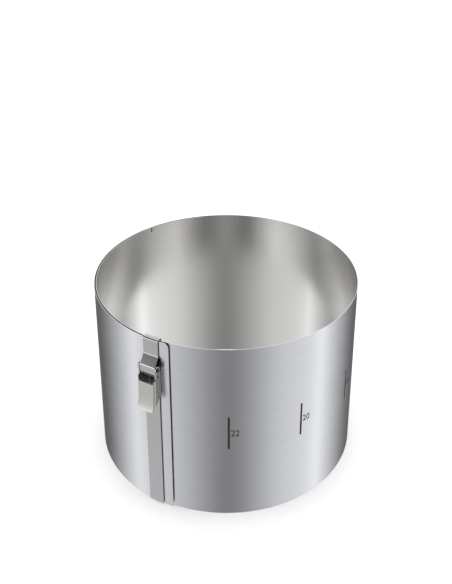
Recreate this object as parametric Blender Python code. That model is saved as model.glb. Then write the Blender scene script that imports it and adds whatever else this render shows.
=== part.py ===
# Adjustable cake ring: one long springy steel band, rolled up to a ring, and the clamp that locks it.
# The band is built as short lengths joined by upright hinges, so that the ring can be set wider or tighter.
import math

import bmesh
import bpy
from mathutils import Matrix, Vector

# Band
ring_radius = 0.118          # outside of the outer layer at its free end
band_height = 0.165
band_thickness = 0.0004
band_turn = math.radians(505.8)      # how far the whole band goes round, as set here
band_end_angle = math.radians(-23.9)     # where its outer end lies, counted from the front towards +X
length_count = 28
length_facets = 8
layer_pitch = 0.0016         # how much closer to the middle each turn lies
corner_radius = 0.0045       # rounding of the band's free corners
corner_facets = 5
joint_gap = 0.0003           # between neighbouring lengths

# Strap
strap_angle = math.radians(-31.5)    # middle of the clamp, counted like the band's end
strap_width = 0.014
strap_thickness = 0.0008
strap_bend_radius = 0.0012
strap_foot_height = 0.0007
strap_tongue_height = 0.006  # lower end of the leg inside the ring
slide_room = 0.0034          # what the slot leaves behind the outer layer for the layers that slide there
hump_start_depth = 0.014     # all depths are counted down from the band's top edge
hump_top_depth = 0.022
hump_bottom_depth = 0.028
hump_end_depth = 0.034

# Pin
pin_radius = 0.0012
pin_depth = 0.0242
pin_out = 0.0042             # from the band's outside to the pin's middle
pin_head_radius = 0.0019
pin_head_thickness = 0.0005
round_sides = 24

# Lever
lever_thickness = 0.0009
ear_radius = 0.0034
ear_reach = 0.0026           # from the pin's middle to the ears' outer edge
flange_seat_gap = 0.0001     # from the band's outside, level with its middle, to the flanges
plate_out = 0.0085           # from the band's outside to the middle of the plate
plate_top_depth = 0.036
plate_shoulder_depth = 0.033
flange_bottom_depth = 0.049
flange_end_depth = 0.058
flare_start_depth = 0.0535
lever_end_depth = 0.0615
flare_out = 0.0018
flare_facets = 6
lever_corner_radius = 0.004

# Running fits
clearance = 0.0003
cut_overrun = 0.001


def clear_scene():
    for thing in list(bpy.data.objects):
        bpy.data.objects.remove(thing, do_unlink=True)


def make_steel(name, colour, roughness):
    material = bpy.data.materials.new(name)
    material.use_nodes = True
    shader = material.node_tree.nodes["Principled BSDF"]
    shader.inputs["Base Color"].default_value = (*colour, 1)
    shader.inputs["Metallic"].default_value = 1
    shader.inputs["Roughness"].default_value = roughness
    material.diffuse_color = (*colour, 1)
    return material


# A solid swept through four-cornered sections, closed at both ends.
def swept_solid(name, sections):
    shape = bmesh.new()
    rings = [[shape.verts.new(point) for point in section] for section in sections]
    for near, far in zip(rings, rings[1:]):
        for corner in range(len(near)):
            following = (corner + 1) % len(near)
            shape.faces.new((near[corner], near[following], far[following], far[corner]))
    shape.faces.new(rings[0])
    shape.faces.new(rings[-1])
    bmesh.ops.recalc_face_normals(shape, faces=shape.faces)
    mesh = bpy.data.meshes.new(name)
    shape.to_mesh(mesh)
    shape.free()
    return mesh


def add_object(name, mesh, origin, material, parent=None):
    mesh.transform(Matrix.Translation(-origin))
    mesh.materials.append(material)
    mesh.shade_smooth()
    mesh.set_sharp_from_angle(angle=math.radians(30))
    thing = bpy.data.objects.new(name, mesh)
    bpy.context.scene.collection.objects.link(thing)
    thing.parent = parent
    thing.location = origin - parent_place(parent)
    return thing


def parent_place(thing):
    place = Vector((0, 0, 0))
    while thing:
        place = place + thing.location
        thing = thing.parent
    return place


# The band's outside at a turn counted from its outer end. The spiral's middle stands a quarter
# of a pitch off the ring's, which centres the ring on the origin.
def band_point(turn, inward, height):
    angle = band_end_angle - turn
    radius = ring_radius - layer_pitch * turn / math.tau - inward
    middle = layer_pitch / 4
    return Vector((middle + radius * math.sin(angle), radius * -math.cos(angle) - middle, height))


def band_section(turn, cut_back):
    return [
        band_point(turn, 0, cut_back),
        band_point(turn, band_thickness, cut_back),
        band_point(turn, band_thickness, band_height - cut_back),
        band_point(turn, 0, band_height - cut_back),
    ]


# Turns and corner cut-backs along a length. The free ends of the band have round corners.
def length_stations(number):
    step = band_turn / length_count
    half_gap = joint_gap / 2 / ring_radius
    first = number * step + (half_gap if number > 0 else 0)
    last = (number + 1) * step - (half_gap if number < length_count - 1 else 0)
    turns = [first + (last - first) * facet / length_facets for facet in range(length_facets + 1)]
    stations = [(turn, 0) for turn in turns]
    corner_turn = corner_radius / ring_radius
    corner = []
    for facet in range(corner_facets + 1):
        around = math.radians(90) * facet / corner_facets
        corner.append((corner_turn * (1 - math.cos(around)), corner_radius * (1 - math.sin(around))))
    if number == 0:
        kept = [station for station in stations if station[0] > first + corner_turn]
        stations = [(first + along, back) for along, back in corner] + kept
    if number == length_count - 1:
        kept = [station for station in stations if station[0] < last - corner_turn]
        stations = kept + [(last - along, back) for along, back in reversed(corner)]
    return stations


def band_pivot(number):
    return band_point(number * band_turn / length_count, band_thickness / 2, 0)


def add_length(number, origin, material, parent):
    name = f"band_length_{number + 1:02d}"
    sections = [band_section(turn, back) for turn, back in length_stations(number)]
    return add_object(name, swept_solid(name, sections), origin, material, parent)


# The length in the middle of the band carries its two neighbours, and each of those the next one.
def make_band(material):
    middle = length_count // 2
    lengths = [add_length(middle, Vector((0, 0, 0)), material, None)]
    for number in range(middle + 1, length_count):
        lengths.append(add_length(number, band_pivot(number), material, lengths[-1]))
    for number in reversed(range(middle)):
        lengths.insert(0, add_length(number, band_pivot(number + 1), material, lengths[0]))
    return lengths


# A place on the clamp: along the rim towards +X, out from the band's outside, and down from its top.
def clamp_point(along, out, depth):
    foot = band_point(band_end_angle - strap_angle, 0, band_height - depth)
    rim = Vector((math.cos(strap_angle), math.sin(strap_angle), 0))
    outward = Vector((math.sin(strap_angle), -math.cos(strap_angle), 0))
    return foot + rim * along + outward * out


# Rounds the corners of a bent strip's middle line.
def rounded_line(corners, radius, facets):
    line = [corners[0]]
    for before, corner, after in zip(corners, corners[1:], corners[2:]):
        to_before = (before - corner).normalized()
        to_after = (after - corner).normalized()
        half = to_before.angle(to_after) / 2
        back = radius / math.tan(half)
        middle = corner + (to_before + to_after).normalized() * radius / math.sin(half)
        start = corner + to_before * back - middle
        swing = start.angle_signed(corner + to_after * back - middle)
        for facet in range(facets + 1):
            turned = start.copy()
            turned.rotate(Matrix.Rotation(-swing * facet / facets, 2))
            line.append(middle + turned)
    line.append(corners[-1])
    return line


# Sections of a strip of even thickness along a line of (out, depth) points.
def strip_sections(line, thickness, half_widths):
    sections = []
    for index, point in enumerate(line):
        before = line[max(index - 1, 0)]
        after = line[min(index + 1, len(line) - 1)]
        into = (point - before).normalized() if index > 0 else (after - point).normalized()
        away = (after - point).normalized() if index < len(line) - 1 else into
        run = (into + away).normalized()
        side = Vector((-run.y, run.x)) * thickness / 2 / max(run.dot(into), 0.5)
        half = half_widths[index]
        left = point - side
        right = point + side
        sections.append([
            clamp_point(-half, left.x, left.y),
            clamp_point(-half, right.x, right.y),
            clamp_point(half, right.x, right.y),
            clamp_point(half, left.x, left.y),
        ])
    return sections


def make_strap(material, parent):
    outer = clearance + strap_thickness / 2
    inner = -band_thickness - slide_room - strap_thickness / 2
    hump = pin_out + pin_radius + clearance + strap_thickness / 2
    top = -clearance - strap_thickness / 2
    corners = [
        Vector((outer, band_height - strap_foot_height)),
        Vector((outer, hump_end_depth)),
        Vector((hump, hump_bottom_depth)),
        Vector((hump, hump_top_depth)),
        Vector((outer, hump_start_depth)),
        Vector((outer, top)),
        Vector((inner, top)),
        Vector((inner, band_height - strap_tongue_height)),
    ]
    line = rounded_line(corners, strap_bend_radius, 4)
    sections = strip_sections(line, strap_thickness, [strap_width / 2] * len(line))
    mesh = swept_solid("clamp_strap", sections)
    return add_object("clamp_strap", mesh, Vector((0, 0, 0)), material, parent)


# A turned solid on the pin's axis, from (along, radius) points.
def turned_solid(name, outline):
    shape = bmesh.new()
    rings = []
    for along, radius in outline:
        ring = []
        for side in range(round_sides):
            angle = math.tau * side / round_sides
            out = pin_out + radius * math.cos(angle)
            ring.append(shape.verts.new(clamp_point(along, out, pin_depth + radius * math.sin(angle))))
        rings.append(ring)
    for near, far in zip(rings, rings[1:]):
        for side in range(round_sides):
            following = (side + 1) % round_sides
            shape.faces.new((near[side], near[following], far[following], far[side]))
    shape.faces.new(rings[0])
    shape.faces.new(rings[-1])
    bmesh.ops.recalc_face_normals(shape, faces=shape.faces)
    mesh = bpy.data.meshes.new(name)
    shape.to_mesh(mesh)
    shape.free()
    return mesh


def lever_half_width():
    return strap_width / 2 + clearance + lever_thickness


def make_pin(material, parent):
    shoulder = lever_half_width() + clearance
    end = shoulder + pin_head_thickness
    outline = [
        (-end, pin_head_radius),
        (-shoulder, pin_head_radius),
        (-shoulder, pin_radius),
        (shoulder, pin_radius),
        (shoulder, pin_head_radius),
        (end, pin_head_radius),
    ]
    mesh = turned_solid("lever_pin", outline)
    return add_object("lever_pin", mesh, Vector((0, 0, 0)), material, parent)


# A flat sheet of the clamp, upright and square to the rim, from its (out, depth) outline.
def side_sheet(name, outline, near, far):
    sections = []
    for along in (near, far):
        sections.append([clamp_point(along, out, depth) for out, depth in outline])
    return swept_solid(name, sections)


# A flange with its ear: round over the pin, straight against the band, then tapered into the plate.
def flange_outline():
    outline = []
    half_turn_facets = round_sides // 2
    for facet in range(half_turn_facets + 1):
        angle = math.pi * facet / half_turn_facets
        reach = ear_reach if facet < half_turn_facets / 2 else ear_radius
        outline.append((pin_out + reach * math.cos(angle), pin_depth - ear_radius * math.sin(angle)))
    outline += [
        (flange_seat_gap, pin_depth + ear_radius),
        (flange_seat_gap, flange_bottom_depth),
        (plate_out, flange_end_depth),
        (plate_out, plate_top_depth),
        (pin_out + ear_reach, plate_shoulder_depth),
    ]
    return outline


def add_cutter(name, mesh):
    cutter = bpy.data.objects.new(name, mesh)
    bpy.context.scene.collection.objects.link(cutter)
    cutter.hide_render = True
    cutter.display_type = "WIRE"
    return cutter


def add_boolean(thing, cutter, operation):
    boolean = thing.modifiers.new(cutter.name, "BOOLEAN")
    boolean.operation = operation
    boolean.solver = "EXACT"
    boolean.object = cutter


# The plate's middle line: straight, then flared outwards at the thumb end.
def plate_line():
    line = [Vector((plate_out, plate_top_depth)), Vector((plate_out, flare_start_depth))]
    run = lever_end_depth - flare_start_depth
    for facet in range(1, flare_facets + 1):
        share = facet / flare_facets
        line.append(Vector((plate_out + flare_out * share ** 2, flare_start_depth + run * share)))
    return line


# Half widths along the plate, whose lower corners are round.
def plate_half_widths(line):
    straight = lever_half_width() - lever_thickness / 2 - lever_corner_radius
    widths = []
    for point in line:
        past = max(0, point.y - lever_end_depth + lever_corner_radius)
        widths.append(straight + math.sqrt(max(0, lever_corner_radius ** 2 - past ** 2)))
    return widths


def make_lever(material):
    line = plate_line()
    mesh = swept_solid("clamp_lever", strip_sections(line, lever_thickness, plate_half_widths(line)))
    outer = lever_half_width()
    inner = outer - lever_thickness
    left = add_cutter("left_flange_shape", side_sheet("left_flange_shape", flange_outline(), -outer, -inner))
    right = add_cutter("right_flange_shape", side_sheet("right_flange_shape", flange_outline(), inner, outer))
    reach = outer + cut_overrun
    bore = turned_solid("pin_hole_shape", [(-reach, pin_radius + clearance), (reach, pin_radius + clearance)])
    hole = add_cutter("pin_hole_shape", bore)
    lever = add_object("clamp_lever", mesh, clamp_point(0, pin_out, pin_depth), material)
    add_boolean(lever, left, "UNION")
    add_boolean(lever, right, "UNION")
    add_boolean(lever, hole, "DIFFERENCE")
    return lever


def main():
    clear_scene()
    band_steel = make_steel("band_steel", (0.78, 0.78, 0.79), 0.32)
    strap_steel = make_steel("strap_steel", (0.62, 0.62, 0.63), 0.38)
    lever_steel = make_steel("lever_steel", (0.82, 0.82, 0.8), 0.25)
    pin_steel = make_steel("pin_steel", (0.6, 0.6, 0.6), 0.35)
    lengths = make_band(band_steel)
    strap = make_strap(strap_steel, lengths[0])
    make_pin(pin_steel, strap)
    make_lever(lever_steel)


main()
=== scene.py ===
import math
import bpy
from mathutils import Matrix, Vector


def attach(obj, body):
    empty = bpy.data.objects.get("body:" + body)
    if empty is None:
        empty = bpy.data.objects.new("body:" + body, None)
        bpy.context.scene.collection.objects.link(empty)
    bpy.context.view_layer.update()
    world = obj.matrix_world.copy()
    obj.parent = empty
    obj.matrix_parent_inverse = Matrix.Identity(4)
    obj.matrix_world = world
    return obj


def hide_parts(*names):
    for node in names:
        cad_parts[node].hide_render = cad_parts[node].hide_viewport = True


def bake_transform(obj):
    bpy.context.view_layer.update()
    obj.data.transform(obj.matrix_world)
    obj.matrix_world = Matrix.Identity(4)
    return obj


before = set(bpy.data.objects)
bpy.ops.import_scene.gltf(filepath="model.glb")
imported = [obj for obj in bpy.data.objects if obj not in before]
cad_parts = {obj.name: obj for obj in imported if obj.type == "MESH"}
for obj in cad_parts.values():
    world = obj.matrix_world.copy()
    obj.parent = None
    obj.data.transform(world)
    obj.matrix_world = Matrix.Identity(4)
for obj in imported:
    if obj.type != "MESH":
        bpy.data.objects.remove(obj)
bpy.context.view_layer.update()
print("frame loaded:", len(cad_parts), "nodes")

# All sizes are in metres, as in the frame
band = {
    "radius": 0.118,        # outside of the outer layer at its free end
    "height": 0.165,
    "thickness": 0.0004,
    "turn": math.radians(505.8),
    "endAngle": math.radians(-23.9),    # of the outer end, from the front towards +X
    "lengths": 28,
    "pitch": 0.0016,        # how much closer to the middle each turn lies
    "corner": 0.0045,
    "cornerSteps": 6,
    "stepsPerLength": 18,
    "firstBend": math.radians(11.2),    # the outer layer stays stiff under the strap
    "wallFacing": 0.7,      # share of a normal past which a face is the wall's outside or inside
}
squareOn = 0.9      # least share of a normal that faces the wanted way


# Small helpers for modelling by hand
def deselectAll():
    bpy.ops.object.select_all(action="DESELECT")


def startEditing(kind="FACE"):
    bpy.ops.object.mode_set(mode="EDIT")
    bpy.ops.mesh.select_mode(type=kind)


def stopEditing():
    bpy.ops.mesh.select_all(action="SELECT")
    bpy.ops.mesh.normals_make_consistent(inside=False)
    bpy.ops.object.mode_set(mode="OBJECT")


def pickOut(piece):
    deselectAll()
    piece.select_set(True)
    bpy.context.view_layer.objects.active = piece


def settle(piece):
    pickOut(piece)
    bpy.ops.object.transform_apply(location=True, rotation=True, scale=True)


def addPlane(name, location, rotation, size):
    deselectAll()
    bpy.ops.mesh.primitive_plane_add(size=1, location=location, rotation=rotation)
    piece = bpy.context.object
    piece.name = name
    piece.scale = (size[0], size[1], 1)
    settle(piece)
    return piece


def selectNothing(piece):
    bpy.ops.object.mode_set(mode="OBJECT")
    for kind in (piece.data.vertices, piece.data.edges, piece.data.polygons):
        for element in kind:
            element.select = False


def selectFaces(piece, wanted):
    selectNothing(piece)
    for face in piece.data.polygons:
        face.select = wanted(face)
    bpy.ops.object.mode_set(mode="EDIT")


# Goes by the places of each edge's two ends
def selectEdges(piece, wanted):
    startEditing("EDGE")
    selectNothing(piece)
    for edge in piece.data.edges:
        edge.select = wanted(*[piece.data.vertices[index].co for index in edge.vertices])
    bpy.ops.object.mode_set(mode="EDIT")


def applyModifiers(piece):
    pickOut(piece)
    for modifier in list(piece.modifiers):
        bpy.ops.object.modifier_apply(modifier=modifier.name)


# Materials: one brushed grain for all the steels, and a dark speckle for the etched marks and for the painted
# shade of a notch inside
grain = {
    "streakDetail": 5,
    "streakRoughness": 0.65,
    "mottleDetail": 3,
    "mottleShare": 0.3,
    "darkest": 0.3,         # noise below this is all dark, and above the next all light
    "lightest": 0.7,
    "depth": 0.0001,
}
etchingLook = {
    "black": (0.012, 0.012, 0.012),
    "grey": (0.035, 0.034, 0.032),
    "speckle": 2500,
    "roughness": 0.7,
    "shine": 0.15,
}


def brushedGrainGroup():
    group = bpy.data.node_groups.new("brushedGrain", "ShaderNodeTree")
    for name, way, kind in (
            ("Stretch", "INPUT", "Vector"), ("Mottle Scale", "INPUT", "Float"),
            ("Low Roughness", "INPUT", "Float"), ("High Roughness", "INPUT", "Float"),
            ("Light", "INPUT", "Color"), ("Dark", "INPUT", "Color"),
            ("Colour", "OUTPUT", "Color"), ("Roughness", "OUTPUT", "Float"), ("Height", "OUTPUT", "Float")):
        group.interface.new_socket(name, in_out=way, socket_type="NodeSocket" + kind)
    nodes, links = group.nodes, group.links
    start = nodes.new("NodeGroupInput")
    end = nodes.new("NodeGroupOutput")
    place = nodes.new("ShaderNodeTexCoord")
    stretch = nodes.new("ShaderNodeVectorMath")
    stretch.operation = "MULTIPLY"
    links.new(place.outputs["Object"], stretch.inputs[0])
    links.new(start.outputs["Stretch"], stretch.inputs[1])
    streaks = nodes.new("ShaderNodeTexNoise")
    streaks.inputs["Scale"].default_value = 1
    streaks.inputs["Detail"].default_value = grain["streakDetail"]
    streaks.inputs["Roughness"].default_value = grain["streakRoughness"]
    links.new(stretch.outputs[0], streaks.inputs["Vector"])
    mottle = nodes.new("ShaderNodeTexNoise")
    mottle.inputs["Detail"].default_value = grain["mottleDetail"]
    links.new(place.outputs["Object"], mottle.inputs["Vector"])
    links.new(start.outputs["Mottle Scale"], mottle.inputs["Scale"])
    both = nodes.new("ShaderNodeMix")
    both.data_type = "FLOAT"
    both.inputs["Factor"].default_value = grain["mottleShare"]
    links.new(streaks.outputs["Fac"], both.inputs["A"])
    links.new(mottle.outputs["Fac"], both.inputs["B"])
    spread = nodes.new("ShaderNodeMapRange")
    spread.inputs["From Min"].default_value = grain["darkest"]
    spread.inputs["From Max"].default_value = grain["lightest"]
    links.new(both.outputs["Result"], spread.inputs["Value"])
    rough = nodes.new("ShaderNodeMapRange")
    links.new(spread.outputs["Result"], rough.inputs["Value"])
    links.new(start.outputs["Low Roughness"], rough.inputs["To Min"])
    links.new(start.outputs["High Roughness"], rough.inputs["To Max"])
    tone = nodes.new("ShaderNodeMix")
    tone.data_type = "RGBA"
    links.new(spread.outputs["Result"], tone.inputs["Factor"])
    links.new(start.outputs["Dark"], tone.inputs["A"])
    links.new(start.outputs["Light"], tone.inputs["B"])
    links.new(tone.outputs["Result"], end.inputs["Colour"])
    links.new(rough.outputs["Result"], end.inputs["Roughness"])
    links.new(streaks.outputs["Fac"], end.inputs["Height"])
    return group


def makeSteel(name, group, look):
    material = bpy.data.materials.new(name)
    material.use_nodes = True
    nodes, links = material.node_tree.nodes, material.node_tree.links
    shader = nodes["Principled BSDF"]
    shader.inputs["Metallic"].default_value = 1
    brushed = nodes.new("ShaderNodeGroup")
    brushed.node_tree = group
    light = look["colour"]
    brushed.inputs["Stretch"].default_value = look["stretch"]
    brushed.inputs["Mottle Scale"].default_value = look["mottle"]
    brushed.inputs["Low Roughness"].default_value = look["roughness"] - look["spread"]
    brushed.inputs["High Roughness"].default_value = look["roughness"] + look["spread"]
    brushed.inputs["Light"].default_value = (*light, 1)
    brushed.inputs["Dark"].default_value = (*[tone * look["darker"] for tone in light], 1)
    bump = nodes.new("ShaderNodeBump")
    bump.inputs["Strength"].default_value = look["bump"]
    bump.inputs["Distance"].default_value = grain["depth"]
    links.new(brushed.outputs["Colour"], shader.inputs["Base Color"])
    links.new(brushed.outputs["Roughness"], shader.inputs["Roughness"])
    links.new(brushed.outputs["Height"], bump.inputs["Height"])
    links.new(bump.outputs["Normal"], shader.inputs["Normal"])
    return material


def makeEtching(name):
    material = bpy.data.materials.new(name)
    material.use_nodes = True
    nodes, links = material.node_tree.nodes, material.node_tree.links
    shader = nodes["Principled BSDF"]
    shader.inputs["Roughness"].default_value = etchingLook["roughness"]
    shader.inputs["Specular IOR Level"].default_value = etchingLook["shine"]
    place = nodes.new("ShaderNodeTexCoord")
    speckle = nodes.new("ShaderNodeTexNoise")
    speckle.inputs["Scale"].default_value = etchingLook["speckle"]
    tone = nodes.new("ShaderNodeMix")
    tone.data_type = "RGBA"
    tone.inputs["A"].default_value = (*etchingLook["black"], 1)
    tone.inputs["B"].default_value = (*etchingLook["grey"], 1)
    links.new(place.outputs["Object"], speckle.inputs["Vector"])
    links.new(speckle.outputs["Fac"], tone.inputs["Factor"])
    links.new(tone.outputs["Result"], shader.inputs["Base Color"])
    return material


grainGroup = brushedGrainGroup()
bandOutside = makeSteel("bandOutside", grainGroup, {
    "colour": (0.765, 0.773, 0.803), "darker": 0.91, "roughness": 0.24, "spread": 0.03,
    "stretch": (16, 16, 1300), "mottle": 9, "bump": 0.3})
# The inside's copy of the band steel is warmer and lighter: a painted reflection of warm-toned food
bandInsidePaintedReflection = makeSteel("bandInsidePaintedReflection", grainGroup, {
    "colour": (0.82, 0.815, 0.80), "darker": 0.95, "roughness": 0.22, "spread": 0.03,
    "stretch": (25, 25, 3000), "mottle": 7, "bump": 0.1})
strapSteel = makeSteel("strapSteel", grainGroup, {
    "colour": (0.53, 0.53, 0.54), "darker": 0.9, "roughness": 0.16, "spread": 0.03,
    "stretch": (4000, 4000, 60), "mottle": 60, "bump": 0.15})
leverSteel = makeSteel("leverSteel", grainGroup, {
    "colour": (0.61, 0.595, 0.565), "darker": 0.93, "roughness": 0.2, "spread": 0.04,
    "stretch": (900, 900, 300), "mottle": 90, "bump": 0.1})
# Near-black pin steel is painted shade, so that the pin's hollow ends read as dark dots
pinSteelPaintedShade = makeSteel("pinSteelPaintedShade", grainGroup, {
    "colour": (0.12, 0.12, 0.125), "darker": 0.8, "roughness": 0.32, "spread": 0.05,
    "stretch": (1500, 1500, 1500), "mottle": 150, "bump": 0.1})
etchingAndNotchShade = makeEtching("etchingAndNotchShade")
print("materials ready")


# The band, one piece across each hinge
def bandPlace(turn, inward=0.0, height=0.0):
    angle = band["endAngle"] - turn
    radius = band["radius"] - band["pitch"] * turn / math.tau - inward
    middle = band["pitch"] / 4
    return Vector((middle + radius * math.sin(angle), -radius * math.cos(angle) - middle, height))


def circleThrough(first, second, third):
    ax, ay, bx, by, cx, cy = first.x, first.y, second.x, second.y, third.x, third.y
    twice = 2 * (ax * (by - cy) + bx * (cy - ay) + cx * (ay - by))
    a, b, c = ax * ax + ay * ay, bx * bx + by * by, cx * cx + cy * cy
    x = (a * (by - cy) + b * (cy - ay) + c * (ay - by)) / twice
    y = (a * (cx - bx) + b * (ax - cx) + c * (bx - ax)) / twice
    return Vector((x, y, 0))


def angleAt(centre, place):
    return math.atan2(place.y - centre.y, place.x - centre.x)


def shortTurn(angle):
    return (angle + math.pi) % math.tau - math.pi


def stationsBetween(first, last, steps):
    return [(first + (last - first) * step / steps, 0.0) for step in range(steps + 1)]


# Turns and cut-backs of a round corner, counted from the band's free end
def cornerStations():
    stations = []
    for step in range(band["cornerSteps"] + 1):
        around = math.radians(90) * step / band["cornerSteps"]
        along = band["corner"] / band["radius"] * (1 - math.cos(around))
        stations.append((along, band["corner"] * (1 - math.sin(around))))
    return stations


# A plate as wide as the sheet is thick is spun on, station by station, round the arc's own centre
def bandPiece(name, stations):
    middle = band["height"] / 2
    turns = [station[0] for station in stations]
    half = band["thickness"] / 2
    first, last = turns[0], turns[-1]
    centre = circleThrough(*[bandPlace(turn, half) for turn in (first, (first + last) / 2, last)])
    begin = bandPlace(first, half)
    facing = angleAt(centre, begin)
    tall = band["height"] - 2 * stations[0][1]
    piece = addPlane(name, (begin.x, begin.y, middle), (math.radians(90), 0, facing),
                     (band["thickness"], tall))
    startEditing()
    bpy.ops.mesh.select_all(action="SELECT")
    if len(set(cut for turn, cut in stations)) == 1:
        swing = shortTurn(angleAt(centre, bandPlace(last, half)) - facing)
        bpy.ops.mesh.spin(steps=len(stations) - 1, angle=swing, center=centre, axis=(0, 0, -1))
    else:
        for here, there in zip(stations, stations[1:]):
            before, after = [angleAt(centre, bandPlace(turn, half)) for turn, cut in (here, there)]
            swing = shortTurn(after - before)
            bpy.ops.mesh.spin(steps=1, angle=swing, center=centre, axis=(0, 0, -1))
            taller = (band["height"] - 2 * there[1]) / (band["height"] - 2 * here[1])
            bpy.ops.transform.resize(value=(1, 1, taller), center_override=(centre.x, centre.y, middle))
    stopEditing()
    return piece, centre


# The wall's normals are set true to its curve, so that the light runs on over the joins
def polishBand(piece, centre):
    mesh = piece.data
    mesh.materials.append(bandOutside)
    mesh.materials.append(bandInsidePaintedReflection)
    mesh.shade_smooth()
    normals = [Vector((0, 0, 1))] * len(mesh.loops)
    for face in mesh.polygons:
        outward = Vector((face.center.x - centre.x, face.center.y - centre.y, 0)).normalized()
        facing = face.normal.dot(outward)
        face.material_index = 1 if facing < -band["wallFacing"] else 0
        for loop in face.loop_indices:
            place = mesh.vertices[mesh.loops[loop].vertex_index].co
            radial = Vector((place.x - centre.x, place.y - centre.y, 0)).normalized()
            if facing > band["wallFacing"]:
                normals[loop] = radial
            elif facing < -band["wallFacing"]:
                normals[loop] = -radial
            else:
                normals[loop] = face.normal.copy()
    mesh.normals_split_custom_set(normals)


def bodyOf(number):
    names = {0: "outer_end", band["lengths"] // 2: "band_middle"}
    return names.get(number, f"band_{number + 1:02d}")


lengthTurn = band["turn"] / band["lengths"]


# Where the piece across a hinge starts and ends
def bendSpan(hinge):
    start = band["firstBend"] if hinge == 1 else (hinge - 0.5) * lengthTurn
    return start, (hinge + 0.5) * lengthTurn


def bendWithBand(piece):
    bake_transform(piece)


def buildBand():
    startStations = cornerStations()
    steps = band["stepsPerLength"]
    clear = startStations[-1][0]
    rigid = stationsBetween(clear, band["firstBend"], steps)[1:]
    piece, centre = bandPiece("outerEndSheet", startStations + rigid)
    polishBand(piece, centre)
    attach(piece, "outer_end")
    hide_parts("band_length_01")
    for hinge in range(1, band["lengths"]):
        piece, centre = bandPiece(f"bandSheet{hinge:02d}", stationsBetween(*bendSpan(hinge), steps))
        polishBand(piece, centre)
        bendWithBand(piece)
        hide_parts(f"band_length_{hinge + 1:02d}")
    last = (band["lengths"] - 0.5) * lengthTurn
    corner = [(band["turn"] - turn, cut) for turn, cut in reversed(startStations)]
    piece, centre = bandPiece("innerEndSheet", stationsBetween(last, corner[0][0], steps)[:-1] + corner)
    polishBand(piece, centre)
    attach(piece, bodyOf(band["lengths"] - 1))


buildBand()
print("band built")


# Size marks etched on the band, and a dark strip inside as painted shade for a notch
marks = {
    "sizes": range(16, 31, 2),
    "referenceSize": 22,
    "referenceAngle": math.radians(-0.4),
    "spacing": math.pi * 0.02,      # along the band, for 2 cm of diameter
    "width": 0.0018,
    "length": 0.032,
    "centreHeight": 0.0845,
    "digitHeight": 0.0062,
    "digitShare": 0.72,     # a digit's height as a share of the font's size
    "digitGap": 0.0009,
    "digitNarrow": 0.86,
    "digitBold": 0.00006,
    "proud": 0.00003,
    "roundEnd": 0.45,       # as a share of the line's width
    "roundSteps": 4,
    "weld": 0.000001,
    "notchShadeAngle": math.radians(-141),    # a dark strip inside, at the top edge, painted shade standing in for a narrow notch
    "notchShadeWidth": 0.0012,
    "notchShadeLength": 0.0044,
}


def markTurn(size):
    layerTurn = band["endAngle"] - marks["referenceAngle"] + math.tau
    radius = band["radius"] - band["pitch"] * layerTurn / math.tau
    return layerTurn + marks["spacing"] / radius * (size - marks["referenceSize"]) / 2


# Lays a flat piece, drawn in X and Z, round the band, on its outside or so far inwards
def layRound(piece, turn, inward=0.0):
    radius = band["radius"] - band["pitch"] * turn / math.tau
    for vertex in piece.data.vertices:
        along, out, height = vertex.co
        vertex.co = bandPlace(turn - along / radius, inward - out, height)


def finishMark(piece, name):
    piece.name = name
    piece.data.materials.clear()
    piece.data.materials.append(etchingAndNotchShade)
    bendWithBand(piece)


def addMarkLine(name, turn, centreHeight, wide, tall, inward=0.0):
    piece = addPlane(name, (0, 0, centreHeight), (math.radians(90), 0, 0), (wide, tall))
    startEditing()
    bpy.ops.mesh.select_all(action="SELECT")
    bpy.ops.mesh.bevel(offset=wide * marks["roundEnd"], segments=marks["roundSteps"], affect="VERTICES")
    bpy.ops.mesh.select_all(action="SELECT")
    bpy.ops.mesh.extrude_region_move(TRANSFORM_OT_translate={"value": (0, marks["proud"], 0)})
    stopEditing()
    layRound(piece, turn, inward)
    startEditing()
    stopEditing()
    finishMark(piece, name)


def addMarkDigits(size):
    turn = markTurn(size)
    deselectAll()
    bpy.ops.object.text_add(location=(0, 0, 0), rotation=(math.radians(90), 0, 0))
    text = bpy.context.object
    text.data.body = str(size)
    text.data.size = marks["digitHeight"] / marks["digitShare"]
    text.data.offset = marks["digitBold"]
    text.data.extrude = marks["proud"] / 2
    text.scale = (marks["digitNarrow"], 1, 1)
    bpy.ops.object.convert(target="MESH")
    piece = bpy.context.object
    settle(piece)
    low = min(vertex.co.z for vertex in piece.data.vertices)
    left = min(vertex.co.x for vertex in piece.data.vertices)
    high = max(vertex.co.z for vertex in piece.data.vertices)
    start = marks["width"] / 2 + marks["digitGap"]
    shift = Vector((start - left, 0, marks["centreHeight"] - (low + high) / 2))
    piece.data.transform(Matrix.Translation(shift))
    layRound(piece, turn)
    startEditing()
    bpy.ops.mesh.select_all(action="SELECT")
    bpy.ops.mesh.remove_doubles(threshold=marks["weld"])
    stopEditing()
    finishMark(piece, f"markDigits{size}")


# A dark strip on the inside at the top edge: painted shade standing in for a narrow notch
def addInsideTick():
    turn = math.tau + band["endAngle"] - marks["notchShadeAngle"]
    tall, proud = marks["notchShadeLength"], marks["proud"]
    addMarkLine("insideNotchShade", turn, band["height"] - tall / 2 - proud, marks["notchShadeWidth"], tall,
                inward=band["thickness"] + proud)


for size in marks["sizes"]:
    addMarkLine(f"markLine{size}", markTurn(size), marks["centreHeight"], marks["width"], marks["length"])
    addMarkDigits(size)
addInsideTick()
print("marks etched")


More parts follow.
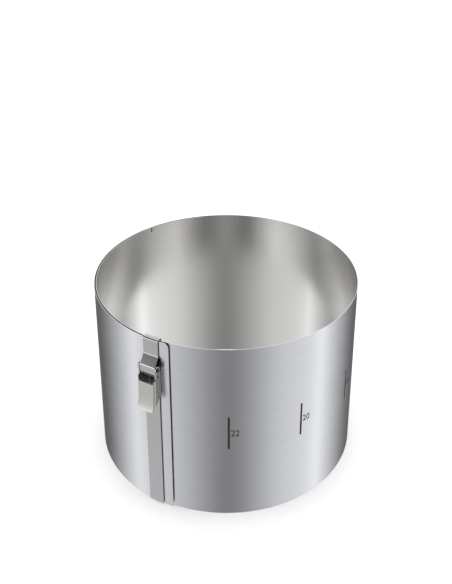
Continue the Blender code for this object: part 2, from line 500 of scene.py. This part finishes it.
# The clamp, drawn with X along the rim, -Y outwards and Z up, then turned to its place
strap = {
    "angle": math.radians(-31.5),
    "width": 0.014,
    "thickness": 0.0008,
    "bend": 0.0022,         # radius of the middle of the sheet
    "saddleBend": 0.0013,
    "foot": 0.0007,         # how far above the floor the outer leg ends
    "tongue": 0.006,        # and the inner one
    "slideRoom": 0.0034,    # between the outer layer and the inner leg
    "humpStart": 0.014,     # depths below the band's top edge
    "humpTop": 0.022,
    "humpBottom": 0.028,
    "humpEnd": 0.034,
    "bendSteps": 5,
    "edge": 0.00015,
}
pin = {
    "radius": 0.0012,
    "depth": 0.0242,        # below the band's top edge
    "out": 0.0042,          # from the band's outside
    "headRadius": 0.0016,
    "headThickness": 0.0005,
    "hollow": 0.0009,
    "hollowDepth": 0.0012,
    "edge": 0.0001,
    "edgeLimit": math.radians(50),
}
lever = {
    "thickness": 0.0009,
    "ear": 0.0034,          # round the pin, above and behind it
    "earReach": 0.0026,     # and in front of it
    "seatGap": 0.0001,
    "plateOut": 0.0085,
    "plateTop": 0.036,      # depths below the band's top edge
    "shoulder": 0.033,
    "flangeBottom": 0.049,
    "flangeEnd": 0.058,
    "flareStart": 0.039,
    "end": 0.0615,
    "flare": 0.0026,        # how far the end stands out from the plate
    "flarePower": 3,
    "flareSteps": 12,
    "corner": 0.004,
    "fold": 0.0016,
    "foldSteps": 6,
    "windowSteps": 5,
    "earSteps": 16,
    "cornerSteps": 8,
    "dimple": 0.0012,       # a small round hole in each side, below the pin
    "dimpleOut": 0.0034,
    "dimpleDepth": 0.0304,
    "weld": 0.00002,        # corners closer than this are one
    "edge": 0.00014,
}
softening = {
    "limit": math.radians(40),      # edges that turn by more are rounded
    "segments": 2,
    "smooth": math.radians(35),     # edges that turn by less look smooth
}
gap = 0.0003
top = band["height"]
roundSides = 32


def placeOnClamp(piece):
    foot = bandPlace(band["endAngle"] - strap["angle"])
    piece.location = (foot.x, foot.y, 0)
    piece.rotation_euler = (0, 0, strap["angle"])
    settle(piece)


# Spins the strip's end face round a bend and returns its place and heading, measured from +Z towards +Y
def bendStrip(place, heading, angle, radius):
    side = 1 if angle > 0 else -1
    centre = place + Vector((0, math.cos(heading), -math.sin(heading))) * radius * side
    bpy.ops.mesh.spin(steps=strap["bendSteps"], angle=angle, center=centre, axis=(1, 0, 0))
    turned = heading + angle
    return centre - Vector((0, math.cos(turned), -math.sin(turned))) * radius * side, turned


def strapCorners():
    outer = gap + strap["thickness"] / 2
    inner = -band["thickness"] - strap["slideRoom"] - strap["thickness"] / 2
    hump = pin["out"] + pin["radius"] + gap + strap["thickness"] / 2
    over = top + gap + strap["thickness"] / 2
    return [
        Vector((0, -outer, strap["foot"])),
        Vector((0, -outer, top - strap["humpEnd"])),
        Vector((0, -hump, top - strap["humpBottom"])),
        Vector((0, -hump, top - strap["humpTop"])),
        Vector((0, -outer, top - strap["humpStart"])),
        Vector((0, -outer, over)),
        Vector((0, -inner, over)),
        Vector((0, -inner, strap["tongue"])),
    ]


def headingOf(step):
    return math.atan2(step.y, step.z)


# Rounds the sharp edges and keeps the large faces flat to the light
def softenEdges(piece, width, limit=softening["limit"]):
    bevel = piece.modifiers.new("softEdges", "BEVEL")
    bevel.width = width
    bevel.segments = softening["segments"]
    bevel.limit_method = "ANGLE"
    bevel.angle_limit = limit
    applyModifiers(piece)
    bpy.ops.object.shade_smooth_by_angle(angle=softening["smooth"])
    flat = piece.modifiers.new("flatFaces", "WEIGHTED_NORMAL")
    flat.keep_sharp = True
    applyModifiers(piece)


def buildStrap():
    corners = strapCorners()
    piece = addPlane("strapStrip", corners[0], (0, 0, 0), (strap["width"], strap["thickness"]))
    startEditing()
    bpy.ops.mesh.select_all(action="SELECT")
    place = corners[0].copy()
    for corner, after in zip(corners[1:], corners[2:]):
        heading = headingOf(corner - place)
        angle = shortTurn(headingOf(after - corner) - heading)
        radius = strap["saddleBend"] if corner.z > top else strap["bend"]
        back = radius * math.tan(abs(angle) / 2)
        run = corner - (corner - place).normalized() * back - place
        bpy.ops.mesh.extrude_region_move(TRANSFORM_OT_translate={"value": run})
        place, heading = bendStrip(place + run, heading, angle, radius)
    bpy.ops.mesh.extrude_region_move(TRANSFORM_OT_translate={"value": corners[-1] - place})
    stopEditing()
    piece.data.materials.append(strapSteel)
    softenEdges(piece, strap["edge"])
    placeOnClamp(piece)
    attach(piece, "outer_end")
    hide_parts("clamp_strap")


def leverHalfWidth():
    return strap["width"] / 2 + gap + lever["thickness"]


def buildPin():
    shoulder = leverHalfWidth() + gap
    deselectAll()
    bpy.ops.mesh.primitive_cylinder_add(vertices=roundSides, radius=pin["radius"], depth=2 * shoulder,
                                        location=(0, -pin["out"], top - pin["depth"]),
                                        rotation=(0, math.radians(90), 0))
    piece = bpy.context.object
    piece.name = "hingePin"
    settle(piece)
    widen = pin["headRadius"] / pin["radius"]
    for side in (-1, 1):
        startEditing()
        selectFaces(piece, lambda face: face.normal.x * side > squareOn)
        bpy.ops.mesh.extrude_region_move(TRANSFORM_OT_translate={"value": (0, 0, 0)})
        bpy.ops.transform.resize(value=(1, widen, widen),
                                 center_override=(0, -pin["out"], top - pin["depth"]))
        bpy.ops.mesh.extrude_region_move(TRANSFORM_OT_translate={"value": (side * pin["headThickness"], 0, 0)})
        bpy.ops.mesh.inset(thickness=pin["headRadius"] - pin["hollow"], depth=0)
        bpy.ops.mesh.extrude_region_move(TRANSFORM_OT_translate={"value": (-side * pin["hollowDepth"], 0, 0)})
        bpy.ops.object.mode_set(mode="OBJECT")
    startEditing()
    stopEditing()
    piece.data.materials.append(pinSteelPaintedShade)
    softenEdges(piece, pin["edge"], pin["edgeLimit"])
    placeOnClamp(piece)
    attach(piece, "outer_end")
    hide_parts("lever_pin")


# Draws a closed outline from one corner on, and pulls it out to a block
def blockFromOutline(name, points, pull):
    piece = addPlane(name, points[0], (0, 0, 0), (gap, gap))      # merged to the first corner
    startEditing("VERT")
    bpy.ops.mesh.select_all(action="SELECT")
    bpy.ops.mesh.merge(type="CENTER")
    for here, there in zip(points, points[1:]):
        bpy.ops.mesh.extrude_region_move(TRANSFORM_OT_translate={"value": there - here})
    bpy.ops.mesh.select_all(action="SELECT")
    bpy.ops.mesh.edge_face_add()
    bpy.ops.mesh.select_mode(type="FACE")
    bpy.ops.mesh.select_all(action="SELECT")
    bpy.ops.mesh.extrude_region_move(TRANSFORM_OT_translate={"value": pull})
    stopEditing()
    return piece


def leverSideOutline(reach):
    points = []
    steps = lever["earSteps"]
    for step in range(steps + 1):
        angle = math.pi * step / steps
        wide = lever["earReach"] if step < steps / 2 else lever["ear"]
        out = pin["out"] + wide * math.cos(angle)
        points.append(Vector((-reach, -out, top - pin["depth"] + lever["ear"] * math.sin(angle))))
    far = lever["plateOut"] + lever["thickness"]
    past = lever["end"] + gap / 2       # the plate's front view cuts the end itself
    rest = [
        (lever["seatGap"], pin["depth"] + lever["ear"]),
        (lever["seatGap"], lever["flangeBottom"]),
        (lever["plateOut"] - lever["thickness"] / 2 - gap, lever["flangeEnd"]),
        (lever["plateOut"] - lever["thickness"], past),
        (far, past),
        (far, lever["plateTop"] - lever["corner"] / 2),
        (pin["out"] + lever["earReach"], lever["shoulder"] - lever["corner"] / 2),
    ]
    points += [Vector((-reach, -out, top - depth)) for out, depth in rest]
    return points


def cutWith(piece, cutter, operation):
    boolean = piece.modifiers.new("cut", "BOOLEAN")
    boolean.operation = operation
    boolean.solver = "EXACT"
    boolean.object = cutter
    applyModifiers(piece)
    bpy.data.objects.remove(cutter, do_unlink=True)


# The lever starts as a channel folded from sheet, open at the back, top and bottom
def leverChannel():
    half = leverHalfWidth()
    front = lever["plateOut"] + lever["thickness"] / 2
    high = top - pin["depth"] + lever["ear"] + gap
    low = top - lever["end"] - gap
    deselectAll()
    bpy.ops.mesh.primitive_cube_add(size=1, location=(0, -front / 2, (high + low) / 2))
    piece = bpy.context.object
    piece.name = "leverPlate"
    piece.scale = (2 * half, front, high - low)
    settle(piece)
    selectEdges(piece, lambda one, other: max(one.y, other.y) < gap - front and abs(one.z - other.z) > gap)
    bpy.ops.mesh.bevel(offset=lever["fold"], segments=lever["foldSteps"], affect="EDGES")
    bpy.ops.mesh.select_mode(type="FACE")
    selectFaces(piece, lambda face: abs(face.normal.z) > squareOn or face.normal.y > squareOn)
    bpy.ops.mesh.delete(type="FACE")
    bpy.ops.object.mode_set(mode="OBJECT")
    wall = piece.modifiers.new("sheet", "SOLIDIFY")
    wall.thickness = lever["thickness"]
    wall.offset = -1
    wall.use_even_offset = True
    applyModifiers(piece)
    return piece


def roundedWindow():
    inner = leverHalfWidth() - lever["thickness"] - gap
    low = top - lever["plateTop"]
    high = top - pin["depth"] + lever["ear"] + 4 * gap
    deselectAll()
    bpy.ops.mesh.primitive_cube_add(size=1, location=(0, -lever["plateOut"], (high + low) / 2))
    piece = bpy.context.object
    piece.scale = (2 * inner, 3 * lever["fold"], high - low)
    settle(piece)
    selectEdges(piece, lambda one, other: abs(one.y - other.y) > gap and one.z < low + gap)
    bpy.ops.mesh.bevel(offset=lever["fold"], segments=lever["windowSteps"], affect="EDGES")
    bpy.ops.object.mode_set(mode="OBJECT")
    return piece


# The front view of the plate: its lower corners are round
def plateFront():
    half = leverHalfWidth() + gap
    steps, radius, reach = lever["cornerSteps"], lever["corner"], 2 * lever["plateOut"]
    points = [Vector((-half, -reach, top)), Vector((half, -reach, top))]
    for side in (1, -1):
        for step in range(steps + 1):
            angle = math.radians(90) * (step if side > 0 else steps - step) / steps
            x = side * (half - gap - radius + radius * math.cos(angle))
            points.append(Vector((x, -reach, top - lever["end"] + radius * (1 - math.sin(angle)))))
    return blockFromOutline("plateFront", points, (0, 2 * reach, 0))


def flareEnd(piece):
    run = lever["end"] - lever["flareStart"]
    startEditing()
    for step in range(lever["flareSteps"]):
        bpy.ops.mesh.select_all(action="SELECT")
        bpy.ops.mesh.bisect(plane_co=(0, 0, top - lever["flareStart"] - run * step / lever["flareSteps"]),
                            plane_no=(0, 0, 1))
    bpy.ops.object.mode_set(mode="OBJECT")
    for vertex in piece.data.vertices:
        share = max(0, (top - lever["flareStart"] - vertex.co.z) / run)
        vertex.co.y -= lever["flare"] * share ** lever["flarePower"]


def drill(piece, out, depth, radius):
    deselectAll()
    bpy.ops.mesh.primitive_cylinder_add(vertices=roundSides, radius=radius, depth=4 * leverHalfWidth(),
                                        location=(0, -out, top - depth), rotation=(0, math.radians(90), 0))
    cutWith(piece, bpy.context.object, "DIFFERENCE")


def buildLever():
    piece = leverChannel()
    reach = 2 * leverHalfWidth()
    side = blockFromOutline("sideShape", leverSideOutline(reach), (2 * reach, 0, 0))
    cutWith(piece, side, "INTERSECT")
    cutWith(piece, plateFront(), "INTERSECT")
    cutWith(piece, roundedWindow(), "DIFFERENCE")
    drill(piece, pin["out"], pin["depth"], pin["radius"] + gap)
    drill(piece, lever["dimpleOut"], lever["dimpleDepth"], lever["dimple"])
    pickOut(piece)
    flareEnd(piece)
    startEditing("VERT")
    bpy.ops.mesh.select_all(action="SELECT")
    bpy.ops.mesh.remove_doubles(threshold=lever["weld"])
    bpy.ops.mesh.dissolve_degenerate(threshold=lever["weld"])
    stopEditing()
    piece.data.materials.clear()
    piece.data.materials.append(leverSteel)
    softenEdges(piece, lever["edge"])
    placeOnClamp(piece)
    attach(piece, "lever")
    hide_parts("clamp_lever")


buildStrap()
buildPin()
buildLever()
print("clamp built")


# Floor, light and camera
studio = {
    "floorSize": 6.0,
    "floorDrop": 0.0001,
    "floorColour": (0.86, 0.86, 0.86),
    "floorRoughness": 0.9,
    "surround": 1.2,
    "cardStrength": 0.96,
    "lean": 0.08,           # how much brighter the right is than the front
    # Brightness of the cards at angles round from the front, in degrees, the same on both sides
    "cards": [(0, 0.26), (9, 0.32), (20, 0.45), (33, 0.62), (46, 0.79), (63, 0.87),
              (80, 0.98), (85, 1.15), (88, 1.5), (91, 1.15), (98, 0.9), (112, 0.56),
              (128, 0.27), (144, 0.11), (155, 0.13), (170, 0.4), (180, 0.5)],
    # Their share at angles up from straight down, with the level at 90
    "lift": [(0, 0.15), (20, 0.35), (42, 1.02), (52, 0.94), (57, 0.93), (64, 1.03),
             (75, 1.2), (82, 1.8), (91, 2.4), (104, 2.4), (109, 0.9), (113, 0.12),
             (118, 0.04), (150, 0.05), (180, 0.2)],
    # A bright card behind and above, which lights the rim
    "behind": [(0, 0), (95, 0), (125, 1), (180, 1)],
    "overhead": [(0, 0), (94, 0), (108, 1.1), (140, 1.1), (165, 0.5), (180, 0.4)],
    "topLightSize": 1.2,
    "topLightHeight": 1.6,
    "topLightPower": 12,
}
camera = {
    "distance": 0.6440,     # from the ring's axis, level
    "height": 0.5412,
    "orbit": math.radians(-1.2),    # round the ring, from the front towards +X
    "pitch": math.radians(22.91),
    "yaw": 0.0028,
    "focalPixels": 823.4,
    "centre": (228.1, 166),
    "image": (452, 584),
    "sensor": 36,
}


def addFloor():
    deselectAll()
    bpy.ops.mesh.primitive_plane_add(size=studio["floorSize"], location=(0, 0, -studio["floorDrop"]))
    floor = bpy.context.object
    floor.name = "floor"
    material = bpy.data.materials.new("paleFloor")
    material.use_nodes = True
    shader = material.node_tree.nodes["Principled BSDF"]
    shader.inputs["Base Color"].default_value = (*studio["floorColour"], 1)
    shader.inputs["Roughness"].default_value = studio["floorRoughness"]
    shader.inputs["Specular IOR Level"].default_value = 0
    floor.data.materials.append(material)
    floor.visible_glossy = False


# Small helpers for the world's nodes: an input is a number or another node's output
def feed(links, socket, value):
    if isinstance(value, bpy.types.NodeSocket):
        links.new(value, socket)
    else:
        socket.default_value = value


def mathNode(tree, operation, *values):
    node = tree.nodes.new("ShaderNodeMath")
    node.operation = operation
    for socket, value in zip(node.inputs, values):
        feed(tree.links, socket, value)
    return node.outputs[0]


def mixNode(tree, blend, first, second):
    node = tree.nodes.new("ShaderNodeMix")
    node.data_type = "RGBA"
    node.blend_type = blend
    node.inputs["Factor"].default_value = 1
    feed(tree.links, node.inputs["A"], first)
    feed(tree.links, node.inputs["B"], second)
    return node.outputs["Result"]


# Greys at angles from 0 to 180 degrees
def greyNode(tree, stops, share):
    node = tree.nodes.new("ShaderNodeValToRGB")
    ramp = node.color_ramp
    while len(ramp.elements) > 1:
        ramp.elements.remove(ramp.elements[-1])
    for index, (angle, grey) in enumerate(stops):
        element = ramp.elements[0] if index == 0 else ramp.elements.new(angle / 180)
        element.position = angle / 180
        element.color = (grey, grey, grey, 1)
    tree.links.new(share, node.inputs["Fac"])
    return node.outputs["Color"]


def glowNode(tree, colour, strength):
    node = tree.nodes.new("ShaderNodeBackground")
    feed(tree.links, node.inputs["Color"], colour)
    feed(tree.links, node.inputs["Strength"], strength)
    return node.outputs[0]


# Grey cards all round, seen only in the steel: by angle from the front, and by height
def lightSurround():
    world = bpy.data.worlds.new("studio")
    bpy.context.scene.world = world
    world.use_nodes = True
    tree = world.node_tree
    tree.nodes.clear()
    place = tree.nodes.new("ShaderNodeTexCoord")
    parts = tree.nodes.new("ShaderNodeSeparateXYZ")
    tree.links.new(place.outputs["Generated"], parts.inputs[0])
    x, y, z = [parts.outputs[axis] for axis in "XYZ"]
    around = mathNode(tree, "ARCTAN2", x, mathNode(tree, "MULTIPLY", y, -1))
    turned = mathNode(tree, "DIVIDE", mathNode(tree, "ABSOLUTE", around), math.pi)
    risen = mathNode(tree, "ARCCOSINE", mathNode(tree, "MULTIPLY", z, -1))
    raised = mathNode(tree, "DIVIDE", risen, math.pi)
    walls = mixNode(tree, "MULTIPLY", greyNode(tree, studio["cards"], turned),
                    greyNode(tree, studio["lift"], raised))
    above = mixNode(tree, "MULTIPLY", greyNode(tree, studio["behind"], turned),
                    greyNode(tree, studio["overhead"], raised))
    strength = mathNode(tree, "MULTIPLY_ADD", x, studio["lean"], studio["cardStrength"])
    seen = glowNode(tree, mixNode(tree, "ADD", walls, above), strength)
    plain = glowNode(tree, (1, 1, 1, 1), studio["surround"])
    path = tree.nodes.new("ShaderNodeLightPath")
    mixed = tree.nodes.new("ShaderNodeMixShader")
    for socket, output in zip(mixed.inputs, (path.outputs["Is Glossy Ray"], plain, seen)):
        tree.links.new(output, socket)
    out = tree.nodes.new("ShaderNodeOutputWorld")
    tree.links.new(mixed.outputs[0], out.inputs["Surface"])


def addTopLight():
    deselectAll()
    bpy.ops.object.light_add(type="AREA", location=(0, 0, studio["topLightHeight"]))
    light = bpy.context.object
    light.name = "topLight"
    light.data.shape = "DISK"
    light.data.size = studio["topLightSize"]
    light.data.energy = studio["topLightPower"]


def addCamera():
    wide, tall = camera["image"]
    away, orbit = camera["distance"], camera["orbit"]
    deselectAll()
    bpy.ops.object.camera_add(location=(away * math.sin(orbit), -away * math.cos(orbit), camera["height"]))
    eye = bpy.context.object
    eye.name = "photoCamera"
    eye.rotation_euler = (math.radians(90) - camera["pitch"], 0, orbit - camera["yaw"])
    eye.data.sensor_fit = "AUTO"
    eye.data.sensor_width = camera["sensor"]
    eye.data.lens = camera["focalPixels"] * camera["sensor"] / tall
    eye.data.shift_x = (wide / 2 - camera["centre"][0]) / tall
    eye.data.shift_y = (camera["centre"][1] - tall / 2) / tall
    bpy.context.scene.camera = eye
    bpy.context.scene.view_settings.view_transform = "Standard"     # white stays white


addFloor()
lightSurround()
addTopLight()
addCamera()
print("studio ready")
